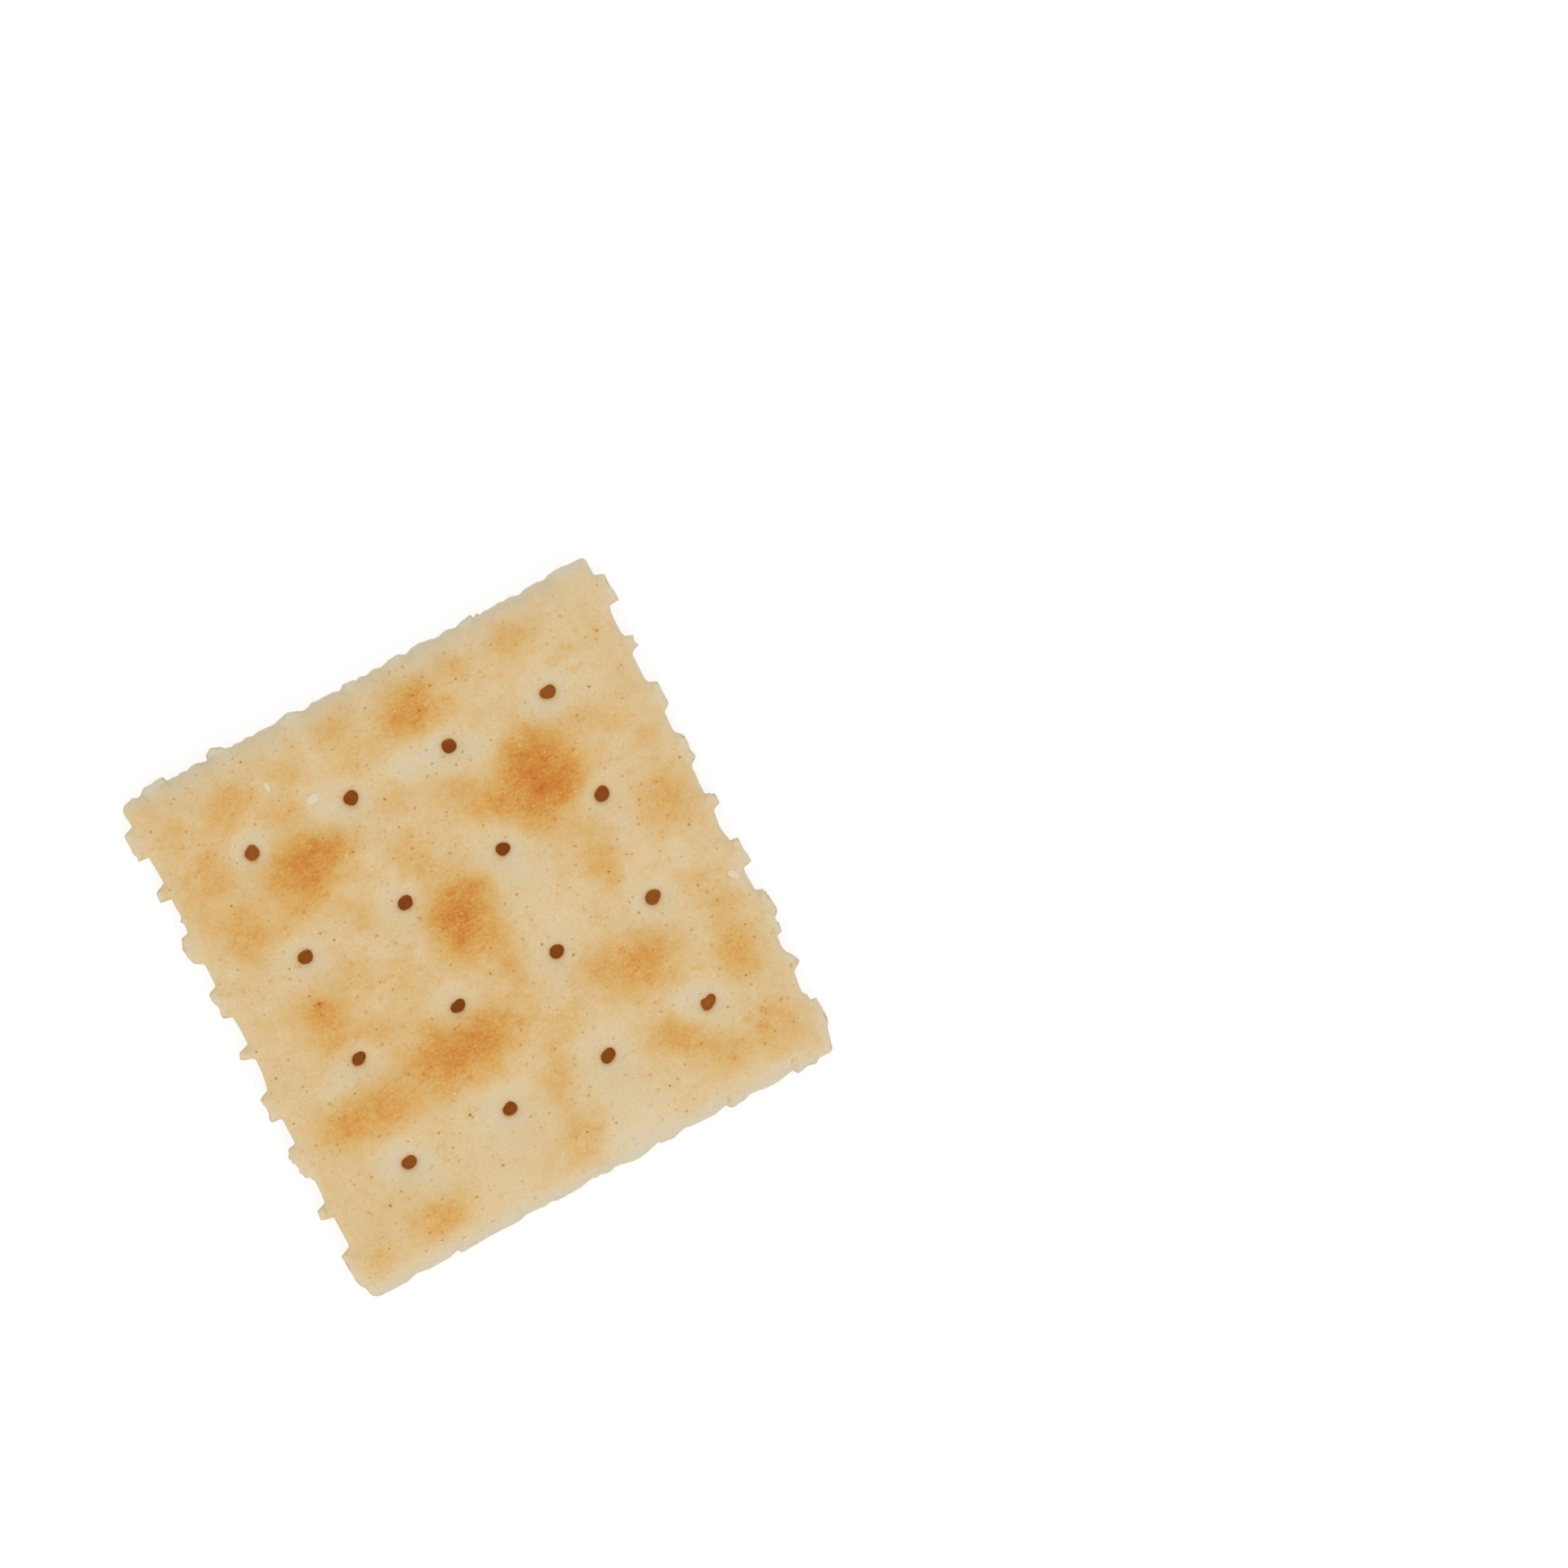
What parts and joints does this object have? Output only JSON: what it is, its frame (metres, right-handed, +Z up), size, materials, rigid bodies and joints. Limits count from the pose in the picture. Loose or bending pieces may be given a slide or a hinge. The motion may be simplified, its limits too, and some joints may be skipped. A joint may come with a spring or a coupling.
{
  "type": "saltine cracker",
  "caption": "Thin square baked cracker with a pillowed, docked and browned top, toothed and scalloped cut edges and a flat underside.",
  "frame": {"origin": "middle of the underside: centre of the outline's box, on the plane the cracker rests on", "axes": "+Z up through the docked, browned face; +Y along the slightly longer way, from one scalloped edge to the other; the toothed edges face +X and -X"},
  "size_m": [0.0506, 0.0516, 0.0047],
  "materials": {
    "crust": "matte baked crust, cream with golden-brown blisters"
  },
  "bodies": {
    "root": {"cracker": "crust"}
  },
  "joints": []
}
